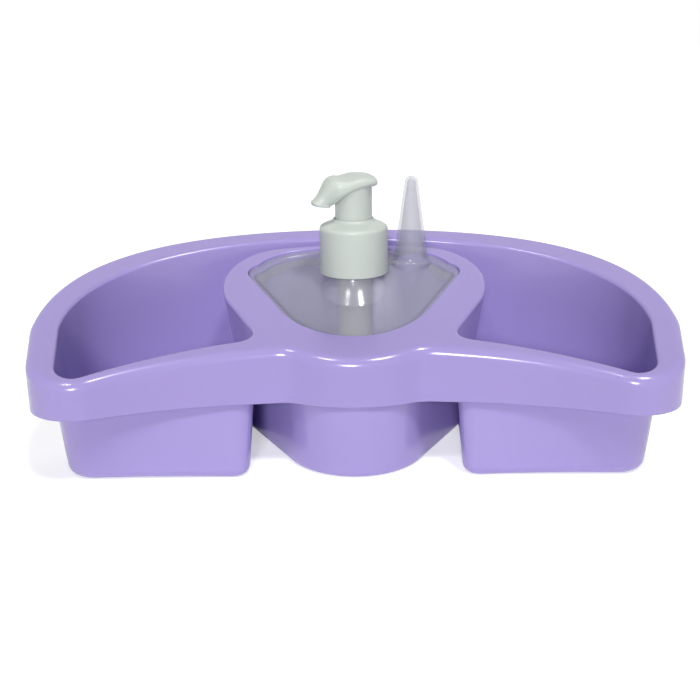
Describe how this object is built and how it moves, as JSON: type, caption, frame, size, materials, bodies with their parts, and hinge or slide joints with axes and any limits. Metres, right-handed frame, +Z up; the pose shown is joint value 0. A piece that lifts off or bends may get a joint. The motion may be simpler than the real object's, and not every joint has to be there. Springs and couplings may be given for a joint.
{
  "type": "soap pump caddy",
  "caption": "Bathroom caddy tray with a central soap reservoir, two deep side bins, a clear lift-out lid with a ring post and a screw-on lotion pump.",
  "frame": {"origin": "centre of the whole object in plan, on the table under the tray's flat feet", "axes": "+Z up along the pump axis, +Y from the front nose toward the raised back, +X toward the ring post's side"},
  "size_m": [0.306, 0.1266, 0.133],
  "materials": {
    "tray_plastic": "satin lilac",
    "clear_plastic": "clear moulded plastic",
    "white_plastic": "satin white",
    "natural_plastic": "milky translucent",
    "gasket_rubber": "matt grey",
    "spring_steel": "bright drawn wire",
    "ball_steel": "polished"
  },
  "bodies": {
    "tray_body": {"tray": "tray_plastic"},
    "lid_body": {"lid": "clear_plastic"},
    "pump_body": {"pump_barrel": "natural_plastic", "guide_collar": "white_plastic", "neck_gasket": "gasket_rubber", "dip_tube": "natural_plastic", "return_spring": "spring_steel"},
    "closure_body": {"pump_closure": "white_plastic"},
    "piston_body": {"piston_seal": "natural_plastic", "stem_foot": "white_plastic"},
    "head_body": {"pump_stem": "white_plastic", "pump_head": "white_plastic"},
    "ball_body": {"inlet_ball": "ball_steel"}
  },
  "joints": [
    {"name": "lid_lift", "type": "slide", "parent": "tray_body", "child": "lid_body", "axis": [0, 0, 1], "range_m": [0, 0.1]},
    {"name": "pump_rise", "type": "slide", "parent": "lid_body", "child": "pump_body", "axis": [0, 0, 1], "range_m": [0, 0.00635]},
    {"name": "closure_turn", "type": "hinge", "parent": "pump_body", "child": "closure_body", "pos_m": [0, 0.01455, 0.09], "axis": [0, 0, 1], "range_deg": [0, 540]},
    {"name": "pump_stroke", "type": "slide", "parent": "pump_body", "child": "piston_body", "axis": [0, 0, -1], "range_m": [0, 0.008], "stiffness_N_per_m": 1200, "springref_m": -0.002, "deforming": ["return_spring"]},
    {"name": "head_turn", "type": "hinge", "parent": "piston_body", "child": "head_body", "pos_m": [0, 0.01455, 0.12], "axis": [0, 0, 1], "continuous": true},
    {"name": "ball_lift", "type": "slide", "parent": "pump_body", "child": "ball_body", "axis": [0, 0, 1], "range_m": [0, 0.0012]}
  ],
  "couplings": [
    {"joint": "closure_turn", "follows": "pump_rise", "rad_per_m": 1484.2}
  ]
}
